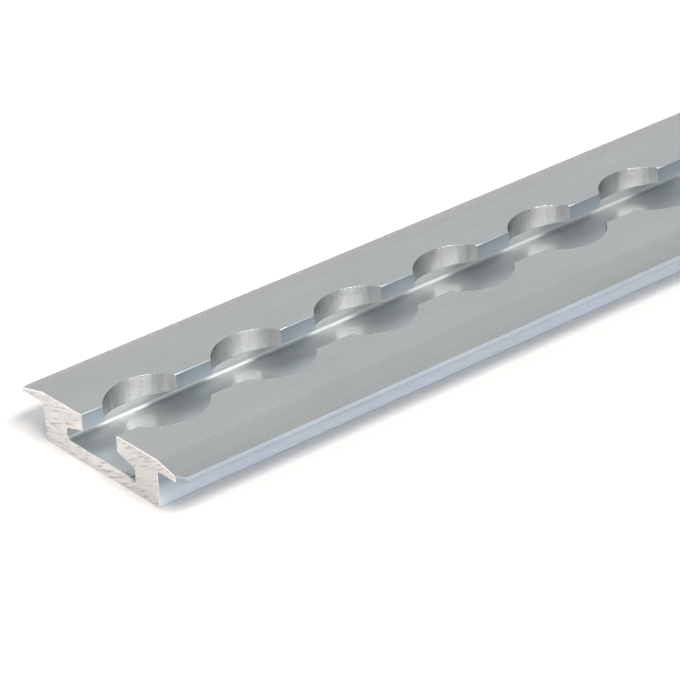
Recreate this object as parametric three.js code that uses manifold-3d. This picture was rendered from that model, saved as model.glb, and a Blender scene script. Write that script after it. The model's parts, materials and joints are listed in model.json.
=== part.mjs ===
// Recessed airline rail: one aluminium extrusion that is let into a floor.
//
// The body sits in a slot in the floor and two tapered flanges cover the edges of the slot.
// An undercut channel runs the whole length and opens upwards through a narrow neck.
// Round cut-outs through the lips, one every inch, let a stud fitting drop into the channel,
// slide half a pitch and lock under the lips.
//
// Millimetres. X runs along the rail, Y across it, Z up. The origin is the middle of the underside.

import * as THREE from 'three';
import { mergeVertices } from 'three/addons/utils/BufferGeometryUtils.js';
import Module from 'manifold-3d';

// Driving dimensions
const PITCH = 25.4;              // one inch between cut-outs
const CUTOUT_COUNT = 12;
const LENGTH = PITCH * CUTOUT_COUNT;
const END_TO_FIRST_CUTOUT = 13.2; // from the sawn end at -X to the middle of the first cut-out
const CUTOUT_DIAMETER = 20;

const HEIGHT = 10.3;             // underside to the top of the lips
const BODY_WIDTH = 34.2;         // the part that is let into the floor
const FLANGE_WIDTH = 48.4;       // tip to tip
const TOP_FLAT_WIDTH = 34.4;     // flat top, before the flanges start to taper
const FLANGE_UNDERSIDE = 7.8;    // height of the face that rests on the floor
const FLANGE_TIP_THICKNESS = 0.8;

const NECK_WIDTH = 10.5;
const CHANNEL_WIDTH = 20.7;
const CHANNEL_FLOOR = 3.0;       // thickness of the web under the channel
const LIP_EDGE_UNDERSIDE = 6.9;  // underside of a lip at the neck
const UNDERCUT_SLOPE = 15;       // degrees that the underside of a lip falls towards the channel wall

// Corner radii of the extrusion die
const BODY_CORNER_RADIUS = 0.6;
const FLANGE_ROOT_RADIUS = 0.4;
const FLANGE_TIP_LOWER_RADIUS = 0.15;
const FLANGE_TIP_UPPER_RADIUS = 0.75; // the tip's upper corner is almost a full nose
const LIP_TOP_RADIUS = 0.25;
const LIP_LOWER_RADIUS = 0.15;
const CHANNEL_CORNER_RADIUS = 1;

const CORNER_STEPS = 4;          // facets in each rounded corner
const CUTOUT_SEGMENTS = 44;      // facets around a cut-out
const CUTTER_START = 4.5;        // inside the open channel, below every part of the lips
const CUTTER_END = HEIGHT + 1;

const wasm = await Module();
wasm.setup();

// A closed geometry becomes a solid that can be cut. Only its shared corner positions matter.
function toSolid(geometry) {
  const bare = geometry.clone();
  bare.deleteAttribute('normal');
  bare.deleteAttribute('uv');
  const merged = mergeVertices(bare);
  return new wasm.Manifold(new wasm.Mesh({
    numProp: 3,
    vertProperties: new Float32Array(merged.attributes.position.array),
    triVerts: new Uint32Array(merged.index.array),
  }));
}

function toGeometry(solid) {
  const { vertProperties, triVerts } = solid.getMesh();
  const geometry = new THREE.BufferGeometry();
  geometry.setAttribute('position', new THREE.BufferAttribute(new Float32Array(vertProperties), 3));
  geometry.setIndex(new THREE.BufferAttribute(new Uint32Array(triVerts), 1));
  const faceted = geometry.toNonIndexed();
  faceted.computeVertexNormals();
  return faceted;
}

// Points around one corner: a tangent arc of the given radius, or the bare corner when it is 0.
function roundCorner(before, corner, after, radius) {
  if (radius === 0) return [corner];
  const toBefore = before.clone().sub(corner).normalize();
  const toAfter = after.clone().sub(corner).normalize();
  const halfAngle = Math.acos(toBefore.dot(toAfter)) / 2;
  const inward = toBefore.clone().add(toAfter).normalize();
  const centre = corner.clone().addScaledVector(inward, radius / Math.sin(halfAngle));
  const start = corner.clone().addScaledVector(toBefore, radius / Math.tan(halfAngle)).sub(centre);
  const turn = Math.PI - 2 * halfAngle;
  const side = Math.sign(toAfter.cross(toBefore));
  const points = [];
  for (let step = 0; step <= CORNER_STEPS; step++) {
    const angle = side * turn * step / CORNER_STEPS;
    points.push(start.clone().rotateAround(new THREE.Vector2(), angle).add(centre));
  }
  return points;
}

// Corners of one half of the cross-section, from the underside round to the channel floor,
// each as [distance from the middle plane, height, corner radius].
function halfSection() {
  const body = BODY_WIDTH / 2;
  const tip = FLANGE_WIDTH / 2;
  const neck = NECK_WIDTH / 2;
  const channel = CHANNEL_WIDTH / 2;
  const slope = Math.tan(THREE.MathUtils.degToRad(UNDERCUT_SLOPE));
  const undercut = LIP_EDGE_UNDERSIDE - (channel - neck) * slope;
  return [
    [body, 0, BODY_CORNER_RADIUS],
    [body, FLANGE_UNDERSIDE, FLANGE_ROOT_RADIUS],
    [tip, FLANGE_UNDERSIDE, FLANGE_TIP_LOWER_RADIUS],
    [tip, FLANGE_UNDERSIDE + FLANGE_TIP_THICKNESS, FLANGE_TIP_UPPER_RADIUS],
    [TOP_FLAT_WIDTH / 2, HEIGHT, 0],
    [neck, HEIGHT, LIP_TOP_RADIUS],
    [neck, LIP_EDGE_UNDERSIDE, LIP_LOWER_RADIUS],
    [channel, undercut, CHANNEL_CORNER_RADIUS],
    [channel, CHANNEL_FLOOR, CHANNEL_CORNER_RADIUS],
  ];
}

function crossSection() {
  const right = halfSection();
  const left = right.map(([y, z, radius]) => [-y, z, radius]).reverse();
  const corners = [...right, ...left];
  const places = corners.map(([y, z]) => new THREE.Vector2(y, z));
  const count = places.length;
  return new THREE.Shape(places.flatMap((place, i) =>
    roundCorner(places[(i + count - 1) % count], place, places[(i + 1) % count], corners[i][2])));
}

function extrudedBar() {
  const bar = new THREE.ExtrudeGeometry(crossSection(), { depth: LENGTH, bevelEnabled: false });
  const [x, y, z] = [new THREE.Vector3(1, 0, 0), new THREE.Vector3(0, 1, 0), new THREE.Vector3(0, 0, 1)];
  bar.applyMatrix4(new THREE.Matrix4().makeBasis(y, z, x));
  return bar.translate(-LENGTH / 2, 0, 0);
}

function cutter(index) {
  const height = CUTTER_END - CUTTER_START;
  const radius = CUTOUT_DIAMETER / 2;
  const drum = new THREE.CylinderGeometry(radius, radius, height, CUTOUT_SEGMENTS);
  drum.rotateX(Math.PI / 2);
  const x = -LENGTH / 2 + END_TO_FIRST_CUTOUT + index * PITCH;
  return drum.translate(x, 0, CUTTER_START + height / 2);
}

function railGeometry() {
  let solid = toSolid(extrudedBar());
  for (let index = 0; index < CUTOUT_COUNT; index++) {
    solid = solid.subtract(toSolid(cutter(index)));
  }
  return toGeometry(solid);
}

// Mill-finish aluminium, as extruded
const millAluminium = new THREE.MeshStandardMaterial({
  color: 0xb3b6b7,
  roughness: 0.42,
  metalness: 0.95,
});

const rail = new THREE.Mesh(railGeometry(), millAluminium);
rail.name = 'rail';

const airlineRail = new THREE.Group();
airlineRail.add(rail);

export default airlineRail;
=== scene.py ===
"""The looks of a recessed airline rail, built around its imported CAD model.

One mesh replaces the CAD rail. It is lofted along X from cross-sections, so that it carries the die's rounded
corners, the milled cut-outs with their burrs, and the sawn ends with their saw marks.

Metres, in the frame's axes: X along the rail, Y across it, Z up. The photograph looks at the sawn end at -X,
so +Y is the far side of the picture and -Y the near side.
"""

import json
import math
import bmesh
import bpy
from mathutils import Matrix, Vector, noise
from mathutils.geometry import delaunay_2d_cdt


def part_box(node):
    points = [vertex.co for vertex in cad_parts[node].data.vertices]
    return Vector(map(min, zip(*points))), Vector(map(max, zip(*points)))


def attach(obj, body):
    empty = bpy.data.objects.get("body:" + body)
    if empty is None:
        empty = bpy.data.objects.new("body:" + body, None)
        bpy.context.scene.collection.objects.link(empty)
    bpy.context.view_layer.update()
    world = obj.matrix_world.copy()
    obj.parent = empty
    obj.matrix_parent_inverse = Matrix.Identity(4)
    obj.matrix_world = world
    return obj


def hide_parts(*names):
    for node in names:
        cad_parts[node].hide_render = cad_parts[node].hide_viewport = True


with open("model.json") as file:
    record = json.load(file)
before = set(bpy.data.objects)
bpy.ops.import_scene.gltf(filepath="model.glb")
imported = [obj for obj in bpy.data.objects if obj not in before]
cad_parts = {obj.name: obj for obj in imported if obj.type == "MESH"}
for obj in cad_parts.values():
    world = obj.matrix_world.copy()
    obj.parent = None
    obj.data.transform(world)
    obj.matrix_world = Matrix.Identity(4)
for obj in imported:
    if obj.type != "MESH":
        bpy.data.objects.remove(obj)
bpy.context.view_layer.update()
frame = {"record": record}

MM = 0.001

# Sizes that the frame gives
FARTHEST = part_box("rail")[1]
END_X = FARTHEST.x
TOP = FARTHEST.z
TIP = FARTHEST.y
MOUNTS = {mount["name"]: Vector(mount["pos_m"]) for mount in frame["record"]["mounts"]}
BODY = MOUNTS["side_left"].y
FLANGE_UNDERSIDE = MOUNTS["flange_underside_left"].z
CUTOUTS = [
    (opening["box_m"][0][0] + opening["box_m"][1][0]) / 2
    for opening in frame["record"]["physics"]["openings"]
    if opening["name"].startswith("cut_out")
]

# Sizes of the cross-section that the frame doesn't name. Widths are from the middle plane.
CUTOUT_RADIUS = 10 * MM
NECK = 5.25 * MM
CHANNEL = 10.35 * MM
CHANNEL_FLOOR = 3 * MM
LIP_UNDERSIDE = 6.9 * MM
UNDERCUT_SLOPE = math.tan(math.radians(15))
TOP_FLAT = 17.2 * MM
TIP_THICKNESS = 0.8 * MM
TAPER = (TOP - FLANGE_UNDERSIDE - TIP_THICKNESS) / (TIP - TOP_FLAT)
SHOULDER = CUTOUT_RADIUS + 1.2 * MM   # the flat top has a row of points here, just clear of the cut-outs

# Corner radii of the cross-section
BODY_RADIUS = 0.6 * MM
ROOT_RADIUS = 0.4 * MM
TIP_LOWER_RADIUS = 0.15 * MM
NEAR_TIP_UPPER_RADIUS = 0.75 * MM
FAR_TIP_UPPER_RADIUS = 0.4 * MM
BREAK_RADIUS = 2 * MM             # where the flat top turns into the taper
LIP_TOP_RADIUS = 0.25 * MM
LIP_LOWER_RADIUS = 0.15 * MM
CHANNEL_RADIUS = 1 * MM

# Burrs that the cutter threw up along the cut-outs
FAR_BURR = 0.03 * MM
NEAR_BURR = 0.006 * MM

# Corners of the flanges that are knocked off the sawn end: how far in, and how far along
NEAR_KNOCK = (1.7 * MM, 1.4 * MM)
FAR_KNOCK = (0.5 * MM, 0.5 * MM)

# The sawn ends
END_STANDOUT = 0.2 * MM           # past the CAD's end, at the middle plane
OUT_OF_SQUARE = 0.01              # more of it for each unit of Y
BLADE = Vector((38 * MM, 105 * MM))   # middle of the saw blade, in Y and Z
SAW_WAVE = 0.02 * MM
SAW_GROOVE = 0.12 * MM
NICK = Vector((-9.4 * MM, 3 * MM))    # middle of a dent in the end, in Y and Z
NICK_DEPTH = 1 * MM
NICK_SIZE = 0.5 * MM
EDGE_DROP = 0.04 * MM             # how far the end's outermost edge lies behind its face

# The band along a sawn end's edge that is painted brighter than the rest, as a highlight
TOP_HIGHLIGHT_BAND = 0.3 * MM
OTHER_HIGHLIGHT_BAND = 0.06 * MM
HIGHLIGHT_BAND_REACH = 0.15 * MM             # how far below the top an edge still counts as the top's
RIM_LEAST = 0.08 * MM
RIM_SHARE = 0.8                   # of the highlight band, how much the rim takes
MARK_MARGIN = 0.2 * MM            # the saw's marks keep this far from the highlight band

# How finely the mesh follows them
CUTOUT_STATIONS = 30
LIP_POINTS = 7
UNDERCUT_POINTS = 14
WALL_POINTS = 3
SAW_GRID = 0.25 * MM
SMOOTH_ANGLE = math.radians(32)

# Lengths below this count as none
TOUCHING = 1e-6

# Material zones of the rail's mesh, in the order of its material slots
OUTER, CHANNEL_ZONE, SIDE, LIP_WALL, MILLED, SAWN, RIM = range(7)


def uneven(a, b, seed):
    """Smooth noise from about -1 to 1, the same on every run. Each seed has a pattern of its own."""
    return noise.noise(Vector((a, b, seed)))


# ---------------------------------------------------------------- cross-section

def fillet(before, corner, after, radius, steps):
    """Points of the arc of that radius which rounds a corner, from the side of `before` to `after`."""
    before, corner, after = Vector(before), Vector(corner), Vector(after)
    to_before = (before - corner).normalized()
    to_after = (after - corner).normalized()
    half = to_before.angle(to_after) / 2
    centre = corner + (to_before + to_after).normalized() * radius / math.sin(half)
    start = corner + to_before * radius / math.tan(half) - centre
    turn = math.pi - 2 * half
    side = 1 if to_after.x * to_before.y - to_after.y * to_before.x > 0 else -1
    points = []
    for step in range(steps + 1):
        angle = side * turn * step / steps
        c, s = math.cos(angle), math.sin(angle)
        points.append(centre + Vector((start.x * c - start.y * s, start.x * s + start.y * c)))
    return points


def resample(path, count):
    """`count` points at even distances along a path of straight pieces."""
    lengths = [(b - a).length for a, b in zip(path, path[1:])]
    total = sum(lengths)
    points = [path[0].copy()]
    piece, passed = 0, 0.0
    for i in range(1, count - 1):
        target = total * i / (count - 1)
        while piece < len(lengths) - 1 and passed + lengths[piece] < target:
            passed += lengths[piece]
            piece += 1
        share = (target - passed) / max(lengths[piece], 1e-12)
        points.append(path[piece].lerp(path[piece + 1], min(share, 1)))
    points.append(path[-1].copy())
    return points


def undercut_path():
    """The underside of a lip, from the neck's wall to the channel's wall, as drawn by the die."""
    lip = (NECK, LIP_UNDERSIDE)
    corner = (CHANNEL, LIP_UNDERSIDE - (CHANNEL - NECK) * UNDERCUT_SLOPE)
    path = fillet((NECK, TOP), lip, corner, LIP_LOWER_RADIUS, 5)
    path += fillet(lip, corner, (CHANNEL, CHANNEL_FLOOR), CHANNEL_RADIUS, 12)
    return path


UNDERCUT_PATH = undercut_path()


def lip_underside(edge):
    """What the cutter leaves of the lip's underside when the lip's edge is `edge` from the middle."""
    path = [point for point in UNDERCUT_PATH if point.x > edge + TOUCHING]
    for a, b in zip(UNDERCUT_PATH, UNDERCUT_PATH[1:]):
        if a.x <= edge + TOUCHING < b.x:
            share = max(0.0, (edge - a.x) / (b.x - a.x))
            return resample([a.lerp(b, share)] + path, UNDERCUT_POINTS)
    return resample(UNDERCUT_PATH, UNDERCUT_POINTS)


def lip_top(edge, burr):
    """The top corner of a lip, from the flat top to the wall: what is left of the die's radius, or a milled
    edge with a burr `burr` high."""
    cut_away = edge - NECK
    if cut_away < 0.8 * LIP_TOP_RADIUS:
        start = math.acos(min(1.0, (LIP_TOP_RADIUS - cut_away) / LIP_TOP_RADIUS))
        angles = [math.pi / 2 + (start - math.pi / 2) * i / (LIP_POINTS - 1) for i in range(LIP_POINTS)]
        centre = Vector((NECK + LIP_TOP_RADIUS, TOP - LIP_TOP_RADIUS))
        return [centre + LIP_TOP_RADIUS * Vector((-math.cos(a), math.sin(a))) for a in angles]
    ridge = [(2.2, 0), (1.5, 0.15), (0.9, 0.75), (0.4, 1), (-0.1, 0.6), (-0.1, -0.4), (0, -1.6)]
    return [Vector((edge + burr * across, TOP + burr * up)) for across, up in ridge]


def outer_outline(tip, tip_radius):
    """The outside of one half: the underside, the body's side and the flange, as (points, zones).
    A zone belongs to the piece that starts at its point."""
    tip_top = FLANGE_UNDERSIDE + TIP_THICKNESS + (TIP - tip) * TAPER
    corners = [
        (0, 0), (BODY, 0), (BODY, FLANGE_UNDERSIDE), (tip, FLANGE_UNDERSIDE),
        (tip, tip_top), (TOP_FLAT, TOP), (NECK, TOP),
    ]
    roundings = [
        (BODY_RADIUS, 6), (ROOT_RADIUS, 5), (TIP_LOWER_RADIUS, 4), (tip_radius, 9), (BREAK_RADIUS, 4),
    ]
    points = [Vector((0, 0)), Vector((BODY / 2, 0))]
    for i, (radius, steps) in enumerate(roundings):
        arc = fillet(corners[i], corners[i + 1], corners[i + 2], radius, steps)
        points += arc
    top_count = 1 + len(arc)
    return points, [SIDE] * (len(points) - top_count) + [OUTER] * top_count


def inner_outline(edge, burr):
    """The inside of one half: the lip, the undercut and half the channel floor, as (points, zones)."""
    top = lip_top(edge, burr)
    underside = lip_underside(edge)
    wall = [top[-1].lerp(underside[0], i / (WALL_POINTS + 1)) for i in range(1, WALL_POINTS + 1)]
    lip_zone = MILLED if edge > NECK + TOUCHING else LIP_WALL
    corner = fillet((CHANNEL, TOP), (CHANNEL, CHANNEL_FLOOR), (0, CHANNEL_FLOOR), CHANNEL_RADIUS, 7)
    floor_points = [Vector((y, CHANNEL_FLOOR)) for y in (CHANNEL * 0.6, CHANNEL * 0.3)]
    lip = top + wall
    channel = underside + corner + floor_points
    return lip + channel, [lip_zone] * len(lip) + [CHANNEL_ZONE] * len(channel)


def half_section(edge, burr, tip, tip_radius):
    """One half of the cross-section, as (points, zones): from the middle of the underside, round the flange
    and the lip, to near the middle of the channel floor."""
    outer, outer_zones = outer_outline(tip, tip_radius)
    inner, inner_zones = inner_outline(edge, burr)
    shoulder = Vector((SHOULDER, TOP))
    flat_top = [shoulder, shoulder.lerp(inner[0], 0.5)]
    return outer + flat_top + inner, outer_zones + [OUTER] * len(flat_top) + inner_zones


def section(x):
    """The closed outline at x, as (points, zones), with the far side first. The near half is walked
    backwards, so its zones move along by one point to stay with their pieces."""
    edge = lip_edge(x)
    far, far_zones = half_section(edge, burr_height(x, 1), tip_at(x, 1), FAR_TIP_UPPER_RADIUS)
    near, near_zones = half_section(edge, burr_height(x, -1), tip_at(x, -1), NEAR_TIP_UPPER_RADIUS)
    middle = Vector((0, CHANNEL_FLOOR))
    points = far + [middle] + [Vector((-p.x, p.y)) for p in reversed(near[1:])]
    return points, far_zones + [CHANNEL_ZONE] + near_zones[-2::-1]


# ---------------------------------------------------------------- along the rail

def lip_edge(x):
    """Distance from the middle to the lip's edge at x: the neck, or the arc of the nearest cut-out."""
    nearest = min(CUTOUTS, key=lambda middle: abs(middle - x))
    square = CUTOUT_RADIUS ** 2 - (x - nearest) ** 2
    return max(NECK, math.sqrt(square) if square > 0 else 0)


def burr_height(x, side):
    """Height of the ragged edge that the cutter threw up. `side` is 1 on the far side, -1 on the near."""
    size = FAR_BURR if side > 0 else NEAR_BURR
    return size * (1 + 0.6 * uneven(x / (1.3 * MM), side * 7.7, 0.4))


def tip_at(x, side):
    """The flange's half width, with the corner of the sawn end at -X knocked off."""
    depth, reach = NEAR_KNOCK if side < 0 else FAR_KNOCK
    from_end = x + END_X
    return TIP - depth * max(0.0, 1 - from_end / reach)


def station_places():
    """Where along X the mesh has a cross-section: close together at the ends, where the flanges' corners are
    knocked off, then at even angles round each cut-out, and a few on the land between two of them."""
    half_opening = math.sqrt(CUTOUT_RADIUS ** 2 - NECK ** 2)
    limit = math.acos(half_opening / CUTOUT_RADIUS)
    places = [-END_X + d * MM for d in (0, 0.12, 0.35, 0.7, 1.05, 1.4, 2.2)]
    places += [END_X - d * MM for d in (0, 0.12, 0.35, 1.2)]
    for middle in CUTOUTS:
        for step in range(CUTOUT_STATIONS + 1):
            angle = limit + (math.pi - 2 * limit) * step / CUTOUT_STATIONS
            places.append(middle + CUTOUT_RADIUS * math.cos(angle))
    for a, b in zip(CUTOUTS, CUTOUTS[1:]):
        land = (b - a) / 2 - half_opening
        places += [(a + b) / 2 + land * share for share in (-0.5, 0, 0.5)]
    return sorted(places)


# ---------------------------------------------------------------- sawn ends

def saw_relief(y, z):
    """Height of the sawn face's grooves, which run along arcs about the blade's middle."""
    radius = (Vector((y, z)) - BLADE).length
    wave = uneven(y / (7 * MM), radius / (0.8 * MM), 8.2)
    wave += 0.5 * uneven(y / (3 * MM), radius / (0.4 * MM), 3.1)
    groove = max(0.0, -wave - 0.1)
    return SAW_WAVE * wave - SAW_GROOVE * groove


def cut_plane(y):
    """How far the sawn end stands out: the cut isn't quite square to the rail."""
    return END_STANDOUT + OUT_OF_SQUARE * y


def nick(y, z):
    """Depth of the dent at the channel's bottom corner on the near side."""
    away = (Vector((y, z)) - NICK).length
    return NICK_DEPTH * math.exp(-(away / NICK_SIZE) ** 2)


def rim_highlight_width(y, z):
    """How wide the band of painted highlight along the end's rim is: a band along the top, a trace elsewhere.
    """
    surface = TOP - max(0.0, abs(y) - TOP_FLAT) * TAPER
    width = TOP_HIGHLIGHT_BAND if z > surface - HIGHLIGHT_BAND_REACH else OTHER_HIGHLIGHT_BAND
    return width * (1 + 0.35 * uneven(y / (1.7 * MM), z / (1.7 * MM), 5.5))


def inset(outline, distance):
    """The closed outline moved inwards by distance(y, z), for an outline that runs anticlockwise."""
    moved = []
    count = len(outline)
    for i, point in enumerate(outline):
        along = (outline[(i + 1) % count] - outline[i - 1]).normalized()
        moved.append(point + Vector((-along.y, along.x)) * distance(point.x, point.y))
    return moved


def inside(point, outline):
    """Whether a point lies within the closed outline."""
    crossing = False
    for a, b in zip(outline, outline[1:] + outline[:1]):
        if (a.y > point.y) != (b.y > point.y):
            if point.x < a.x + (point.y - a.y) * (b.x - a.x) / (b.y - a.y):
                crossing = not crossing
    return crossing


def grid_points(outline):
    """A staggered grid of points within the outline, for the saw's marks."""
    points = []
    for row in range(1, int(TOP / SAW_GRID)):
        shift = 0.5 * (row % 2)
        for column in range(int(2 * TIP / SAW_GRID)):
            point = Vector((-TIP + (column + shift) * SAW_GRID, row * SAW_GRID))
            if inside(point, outline):
                points.append(point)
    return points


def cap(mesh, edge, outline, x, outward):
    """Closes an end: a narrow band along its edge, then a dense face that carries the saw's marks."""
    inner = inset(outline, lambda y, z: RIM_LEAST + RIM_SHARE * rim_highlight_width(y, z))
    margin = inset(outline, lambda y, z: MARK_MARGIN + rim_highlight_width(y, z))
    count = len(outline)
    border = [(i, (i + 1) % count) for i in range(count)]
    flat, _, faces, originals, _, _ = delaunay_2d_cdt(inner + grid_points(margin), border, [], 1, 1e-9)
    made = []
    for place in flat:
        depth = cut_plane(place.x) + saw_relief(place.x, place.y) - nick(place.x, place.y)
        made.append(mesh.verts.new((x + outward * depth, place.x, place.y)))
    ring = {}
    for index, origin in enumerate(originals):
        for seed in origin:
            if seed < count:
                ring[seed] = made[index]
    bands = [([edge[i], edge[j], ring[j], ring[i]], outward > 0, RIM) for i, j in border]
    bands += [([made[i] for i in face], outward < 0, SAWN) for face in faces]
    for corners, backwards, zone in bands:
        if backwards:
            corners.reverse()
        mesh.faces.new(corners).material_index = zone


# ---------------------------------------------------------------- rail

def loft(mesh, loops, zones):
    """Joins each cross-section to the next. Where their zones differ, the later zone in the list wins."""
    for (first, first_zones), (second, second_zones) in zip(zip(loops, zones), zip(loops[1:], zones[1:])):
        count = len(first)
        for j in range(count):
            k = (j + 1) % count
            face = mesh.faces.new((first[j], first[k], second[k], second[j]))
            face.material_index = max(first_zones[j], second_zones[j])


def close_end(mesh, loop, outline, x, outward):
    """Moves the last cross-section to the cut's plane and caps it."""
    for vert, place in zip(loop, outline):
        depth = EDGE_DROP + nick(place.x, place.y)
        vert.co.x += outward * (cut_plane(place.x) - depth)
    cap(mesh, loop, outline, x, outward)


def build_rail():
    """The whole rail as one closed mesh, with crisp edges where its faces meet at more than SMOOTH_ANGLE."""
    mesh = bmesh.new()
    loops = []
    outlines = []
    zones = []
    for x in station_places():
        outline, outline_zones = section(x)
        loops.append([mesh.verts.new((x, p.x, p.y)) for p in outline])
        outlines.append(outline)
        zones.append(outline_zones)
    loft(mesh, loops, zones)
    close_end(mesh, loops[0], outlines[0], -END_X, -1)
    close_end(mesh, loops[-1], outlines[-1], END_X, 1)
    bmesh.ops.recalc_face_normals(mesh, faces=mesh.faces)
    for edge in mesh.edges:
        edge.smooth = len(edge.link_faces) == 2 and edge.calc_face_angle(0) < SMOOTH_ANGLE
    for face in mesh.faces:
        face.smooth = True
    data = bpy.data.meshes.new("airline_rail")
    mesh.to_mesh(data)
    mesh.free()
    return bpy.data.objects.new("airline_rail", data)


# ---------------------------------------------------------------- materials

class Nodes:
    """A small helper that adds and links shader nodes."""

    def __init__(self, name):
        self.material = bpy.data.materials.new(name)
        self.material.use_nodes = True
        self.tree = self.material.node_tree
        self.shader = self.tree.nodes["Principled BSDF"]

    def add(self, kind, inputs=(), **settings):
        node = self.tree.nodes.new(kind)
        for name, value in settings.items():
            setattr(node, name, value)
        for name, value in dict(inputs).items():
            self.feed(node.inputs[name], value)
        return node

    def feed(self, socket, value):
        if isinstance(value, bpy.types.NodeSocket):
            self.tree.links.new(value, socket)
        else:
            socket.default_value = value

    def math(self, operation, a, b=0.0):
        return self.add("ShaderNodeMath", {0: a, 1: b}, operation=operation).outputs[0]

    def weighted(self, first, first_share, second, second_share):
        """The sum of two values, each times its share."""
        first = self.math("MULTIPLY", first, first_share)
        second = self.math("MULTIPLY", second, second_share)
        return self.math("ADD", first, second)

    def stretched(self, place, scale):
        return self.add("ShaderNodeVectorMath", {0: place, 1: scale}, operation="MULTIPLY").outputs[0]

    def place(self):
        """Position on the object, in millimetres."""
        coordinates = self.add("ShaderNodeTexCoord").outputs["Object"]
        return self.stretched(coordinates, (1000, 1000, 1000))

    def noise(self, vector, scale=1.0, detail=4.0, roughness=0.55):
        node = self.add("ShaderNodeTexNoise", {
            "Vector": vector, "Scale": scale, "Detail": detail, "Roughness": roughness,
        })
        return node.outputs["Fac"]

    def spread(self, value, low, high, to_low=0.0, to_high=1.0):
        """The value's range from low to high, stretched to the range from to_low to to_high."""
        node = self.add("ShaderNodeMapRange", {
            "Value": value, "From Min": low, "From Max": high, "To Min": to_low, "To Max": to_high,
        })
        return node.outputs["Result"]

    def mix(self, share, first, second):
        """A blend of two colours. Sockets 6, 7 and 2 are the colour ones of a Mix node."""
        node = self.add("ShaderNodeMix", data_type="RGBA")
        self.feed(node.inputs["Factor"], share)
        self.feed(node.inputs[6], first)
        self.feed(node.inputs[7], second)
        return node.outputs[2]

    def bump(self, height, distance):
        return self.add("ShaderNodeBump", {"Height": height, "Distance": distance}).outputs["Normal"]


def mill_finish(name, dark, light, roughness, line_depth, metallic=1.0, painted_foot_light=None):
    """Aluminium as it leaves the die: satin, with fine lines along its length and faint stains. A colour
    given for the
    underside is painted light: towards the underside the colour blends into it, in place of the floor's light
    reflected onto the wall."""
    nodes = Nodes(name)
    place = nodes.place()
    broad = nodes.noise(nodes.stretched(place, (0.008, 1.1, 1.1)), detail=3.0)
    fine = nodes.noise(nodes.stretched(place, (0.03, 3.5, 3.5)), detail=3.0, roughness=0.6)
    stains = nodes.noise(nodes.stretched(place, (0.05, 0.11, 0.11)), detail=6.0)
    tone = nodes.weighted(broad, 0.4, stains, 0.6)
    colour = nodes.mix(nodes.spread(tone, 0.3, 0.7), dark, light)
    # painted light: below 5.5 mm the colour fades into the pale underside colour, fully at 0.5 mm, in place
    # of the floor's reflected light
    if painted_foot_light:
        height = nodes.add("ShaderNodeSeparateXYZ", {0: place}).outputs["Z"]
        colour = nodes.mix(nodes.spread(height, 0.5, 5.5, 1.0, 0.0), colour, painted_foot_light)
    nodes.feed(nodes.shader.inputs["Base Color"], colour)
    nodes.shader.inputs["Metallic"].default_value = metallic
    rough = nodes.spread(fine, 0.25, 0.75, roughness - 0.015, roughness + 0.015)
    nodes.feed(nodes.shader.inputs["Roughness"], rough)
    lines = nodes.weighted(fine, 1.0, broad, 0.5)
    nodes.feed(nodes.shader.inputs["Normal"], nodes.bump(lines, line_depth))
    return nodes.material


def milled_finish():
    """The walls of the cut-outs: bright, with the cutter's chatter, its rings and a few dark specks. Their
    highlights stretch up and down, across the cutter's rings."""
    nodes = Nodes("milled_wall")
    place = nodes.place()
    chatter = nodes.noise(nodes.stretched(place, (1.1, 1.1, 0.12)), detail=3.0, roughness=0.6)
    rings = nodes.noise(nodes.stretched(place, (0.3, 0.3, 5.0)), detail=3.0, roughness=0.6)
    specks = nodes.noise(nodes.stretched(place, (2.5, 2.5, 1.5)), detail=4.0, roughness=0.6)
    patches = nodes.noise(nodes.stretched(place, (0.35, 0.35, 0.35)), detail=2.0)
    tone = nodes.weighted(chatter, 0.5, specks, 0.5)
    colour = nodes.mix(nodes.spread(tone, 0.35, 0.65), (0.48, 0.485, 0.485, 1), (0.7, 0.7, 0.69, 1))
    colour = nodes.mix(nodes.spread(specks, 0.62, 0.7), colour, (0.3, 0.295, 0.285, 1))
    nodes.feed(nodes.shader.inputs["Base Color"], colour)
    nodes.shader.inputs["Metallic"].default_value = 1.0
    nodes.feed(nodes.shader.inputs["Roughness"], nodes.spread(patches, 0.35, 0.65, 0.2, 0.25))
    nodes.shader.inputs["Anisotropic"].default_value = 0.95
    upright = nodes.add("ShaderNodeCombineXYZ", {"X": 0.0, "Y": 0.0, "Z": 1.0}).outputs[0]
    nodes.feed(nodes.shader.inputs["Tangent"], upright)
    height = nodes.weighted(chatter, 0.8, rings, 0.3)
    nodes.feed(nodes.shader.inputs["Normal"], nodes.bump(height, 0.05 * MM))
    return nodes.material


def rim_highlight_finish():
    """The rim of a sawn end, painted brighter than the rest as a highlight."""
    nodes = Nodes("rim_painted_highlight")
    grit = nodes.noise(nodes.place(), scale=2.0, detail=3.0, roughness=0.6)
    # painted highlight: the rim is coloured brighter than the sawn face
    colour = nodes.mix(nodes.spread(grit, 0.35, 0.65), (0.78, 0.77, 0.75, 1), (0.97, 0.96, 0.945, 1))
    nodes.feed(nodes.shader.inputs["Base Color"], colour)
    nodes.shader.inputs["Metallic"].default_value = 1.0
    nodes.shader.inputs["Roughness"].default_value = 0.45
    return nodes.material


def saw_tears(nodes, place, across):
    """Noise that is drawn out along the saw's arcs."""
    middle = (0, BLADE.x / MM, BLADE.y / MM)
    blade = nodes.add("ShaderNodeVectorMath", {0: place, 1: middle}, operation="SUBTRACT").outputs[0]
    flat = nodes.stretched(blade, (0, 1, 1))
    radius = nodes.add("ShaderNodeVectorMath", {0: flat}, operation="LENGTH").outputs["Value"]
    along_arcs = nodes.add("ShaderNodeCombineXYZ", {
        "X": nodes.math("MULTIPLY", radius, 2.5),
        "Y": nodes.math("MULTIPLY", across, 0.26),
        "Z": 0.0,
    }).outputs[0]
    return nodes.noise(along_arcs, detail=5.0, roughness=0.62)


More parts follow.
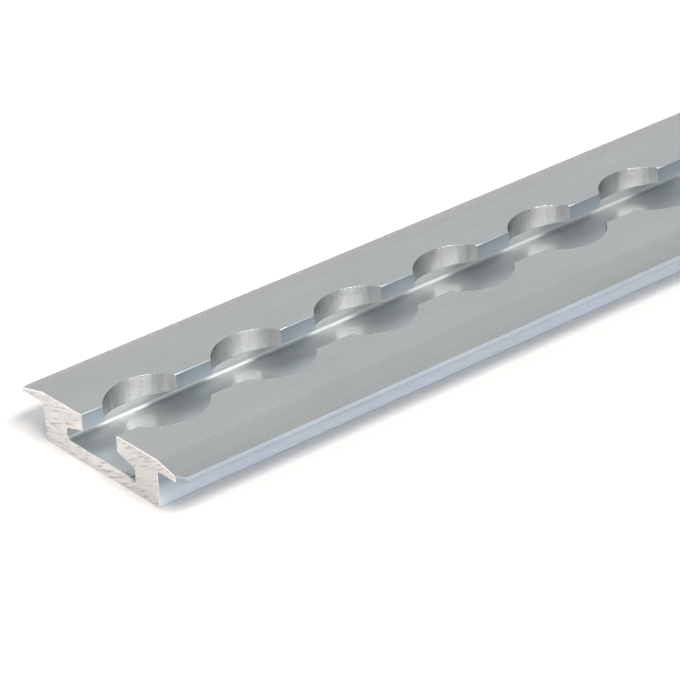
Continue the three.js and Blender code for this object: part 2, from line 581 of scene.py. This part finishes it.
def sawn_finish():
    """The sawn ends: rough and pale, with thin dark lines and bright streaks painted as highlights along the
    saw's arcs.
    """
    nodes = Nodes("sawn_end")
    place = nodes.place()
    across = nodes.add("ShaderNodeSeparateXYZ", {0: place}).outputs["Y"]
    tears = saw_tears(nodes, place, across)
    patches = nodes.noise(nodes.stretched(place, (0.25, 0.25, 0.25)), detail=2.0)
    strength = nodes.spread(patches, 0.35, 0.6, 0.5, 1.0)
    line = nodes.math("MULTIPLY", nodes.spread(tears, 0.38, 0.47, 1.0, 0.0), strength)
    # painted highlight: near-white streaks along the saw's arcs
    painted_glint = nodes.spread(tears, 0.56, 0.68)
    grit = nodes.noise(place, scale=2.5, detail=3.0, roughness=0.6)
    metal = nodes.mix(nodes.spread(grit, 0.3, 0.7), (0.72, 0.71, 0.695, 1), (0.84, 0.83, 0.815, 1))
    metal = nodes.mix(painted_glint, metal, (0.95, 0.94, 0.925, 1))
    near_side = nodes.spread(across, -11.0, -5.0, 0.4, 0.0)
    metal = nodes.mix(near_side, metal, (0.55, 0.54, 0.525, 1))
    colour = nodes.mix(line, metal, (0.45, 0.44, 0.425, 1))
    nodes.feed(nodes.shader.inputs["Base Color"], colour)
    nodes.shader.inputs["Metallic"].default_value = 1.0
    nodes.shader.inputs["Roughness"].default_value = 0.5
    nodes.feed(nodes.shader.inputs["Normal"], nodes.bump(tears, 0.2 * MM))
    return nodes.material


def finishes():
    """The rail's materials, in the order of its zones."""
    top = mill_finish(
        "mill_top", dark=(0.57, 0.583, 0.577, 1), light=(0.64, 0.653, 0.645, 1),
        roughness=0.27, line_depth=0.0009 * MM,
    )
    # painted shade: the channel gets its own blue-tinted copy of the aluminium, in place of the bluish shade
    # under the lips
    channel = mill_finish(
        "mill_channel_painted_shade", dark=(0.575, 0.61, 0.62, 1), light=(0.655, 0.69, 0.7, 1),
        roughness=0.48, line_depth=0.003 * MM,
    )
    # painted reflection and painted shade: the sides, the flanges' undersides and their noses get a darker,
    # blue-tinted copy of the aluminium, painted pale towards the underside, in place of the bluish light they
    # reflect and the shade under the flanges
    side = mill_finish(
        "mill_side_painted_light", dark=(0.29, 0.345, 0.4, 1), light=(0.37, 0.425, 0.48, 1),
        roughness=0.62, line_depth=0.003 * MM, metallic=0.3, painted_foot_light=(0.8, 0.9, 1.0, 1),
    )
    # painted reflection: the lip walls get their own blue-tinted copy of the aluminium, in place of the
    # bluish light they reflect
    neck = mill_finish(
        "mill_neck_painted_reflection", dark=(0.455, 0.53, 0.59, 1), light=(0.54, 0.615, 0.675, 1),
        roughness=0.42, line_depth=0.003 * MM, metallic=0.85,
    )
    return [top, channel, side, neck, milled_finish(), sawn_finish(), rim_highlight_finish()]


# ---------------------------------------------------------------- stage

AIM = Vector((-END_X + 52.55 * MM, -5.83 * MM, TOP))   # the middle of the picture, on the rail's top
VIEW_DISTANCE = 0.638
VIEW_HEADING = math.radians(50.8)
VIEW_DOWN = math.radians(28.5)
VIEW_ROLL = math.radians(-2.26)
LENS = 178.1                      # millimetres
DAYLIGHT = (0.325, 0.33, 0.345, 1)
FLOOR_HALF_WIDTH = 2.5

# Each light: its name, its heading and height in degrees as seen from AIM, its distance, its width and
# height, its power in watts and its colour
SOFTBOXES = [
    ("key", -87, 60, 1.0, (0.72, 0.3), 8.8, (1.0, 0.965, 0.925)),
    ("low_right", -68, 26, 1.0, (0.22, 0.35), 1.2, (1.0, 0.9, 0.82)),
    ("low_left", -86, 26, 1.0, (0.32, 0.35), 0.8, (1.0, 0.94, 0.89)),
    ("left", -158, 35, 1.2, (0.6, 0.7), 1.05, (1.0, 0.98, 0.95)),
    ("top", 120, 72, 1.0, (0.8, 0.6), 2.6, (1.0, 0.95, 0.92)),
    ("back", 106, 40, 1.2, (0.9, 0.7), 1.2, (0.9, 0.95, 1.0)),
    ("right", 10, 14, 1.2, (0.7, 0.3), 0.4, (0.8, 0.9, 1.0)),
    ("far", 49, 31, 1.2, (1.0, 1.2), 1.4, (0.98, 1.0, 0.99)),
]


def direction(heading, height):
    """The unit vector towards a heading about Z and a height above level, both in radians."""
    level = math.cos(height)
    return Vector((math.cos(heading) * level, math.sin(heading) * level, math.sin(height)))


def floor():
    """A plain pale floor that reaches well past the picture."""
    data = bpy.data.meshes.new("floor")
    size = FLOOR_HALF_WIDTH
    corners = [(-size, -size, 0), (size, -size, 0), (size, size, 0), (-size, size, 0)]
    data.from_pydata(corners, [], [(0, 1, 2, 3)])
    piece = bpy.data.objects.new("floor", data)
    nodes = Nodes("floor_paper")
    nodes.shader.inputs["Base Color"].default_value = (0.9, 0.885, 0.87, 1)
    nodes.shader.inputs["Roughness"].default_value = 0.9
    nodes.shader.inputs["Specular IOR Level"].default_value = 0.1
    data.materials.append(nodes.material)
    bpy.context.scene.collection.objects.link(piece)


def softbox(name, heading, height, distance, size, power, colour):
    """A rectangular soft light that faces AIM."""
    light = bpy.data.lights.new(name, "AREA")
    light.shape = "RECTANGLE"
    light.size, light.size_y = size
    light.energy = power
    light.color = colour
    piece = bpy.data.objects.new(name, light)
    away = direction(math.radians(heading), math.radians(height))
    piece.location = AIM + away * distance
    piece.rotation_euler = away.to_track_quat("Z", "Y").to_euler()
    bpy.context.scene.collection.objects.link(piece)


def surroundings():
    """Even, slightly blue daylight from all round."""
    world = bpy.data.worlds.new("studio")
    world.use_nodes = True
    world.node_tree.nodes["Background"].inputs["Color"].default_value = DAYLIGHT
    bpy.context.scene.world = world


def camera():
    """Looks along the rail from its sawn end, from the -Y side and above."""
    forward = direction(VIEW_HEADING, -VIEW_DOWN)
    level = forward.cross(Vector((0, 0, 1))).normalized()
    upright = level.cross(forward)
    right = level * math.cos(VIEW_ROLL) + upright * math.sin(VIEW_ROLL)
    up = right.cross(forward)
    data = bpy.data.cameras.new("camera")
    data.lens = LENS
    data.sensor_width = 36
    data.clip_start = 0.01
    piece = bpy.data.objects.new("camera", data)
    turn = Matrix((right, up, -forward)).transposed()
    piece.matrix_world = Matrix.Translation(AIM - forward * VIEW_DISTANCE) @ turn.to_4x4()
    bpy.context.scene.collection.objects.link(piece)
    bpy.context.scene.camera = piece


camera()
surroundings()
floor()
for settings in SOFTBOXES:
    softbox(*settings)

rail = build_rail()
bpy.context.scene.collection.objects.link(rail)
for finish in finishes():
    rail.data.materials.append(finish)
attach(rail, "root")
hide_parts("rail")

scene = bpy.context.scene
scene.view_settings.view_transform = "Standard"

bpy.context.view_layer.update()
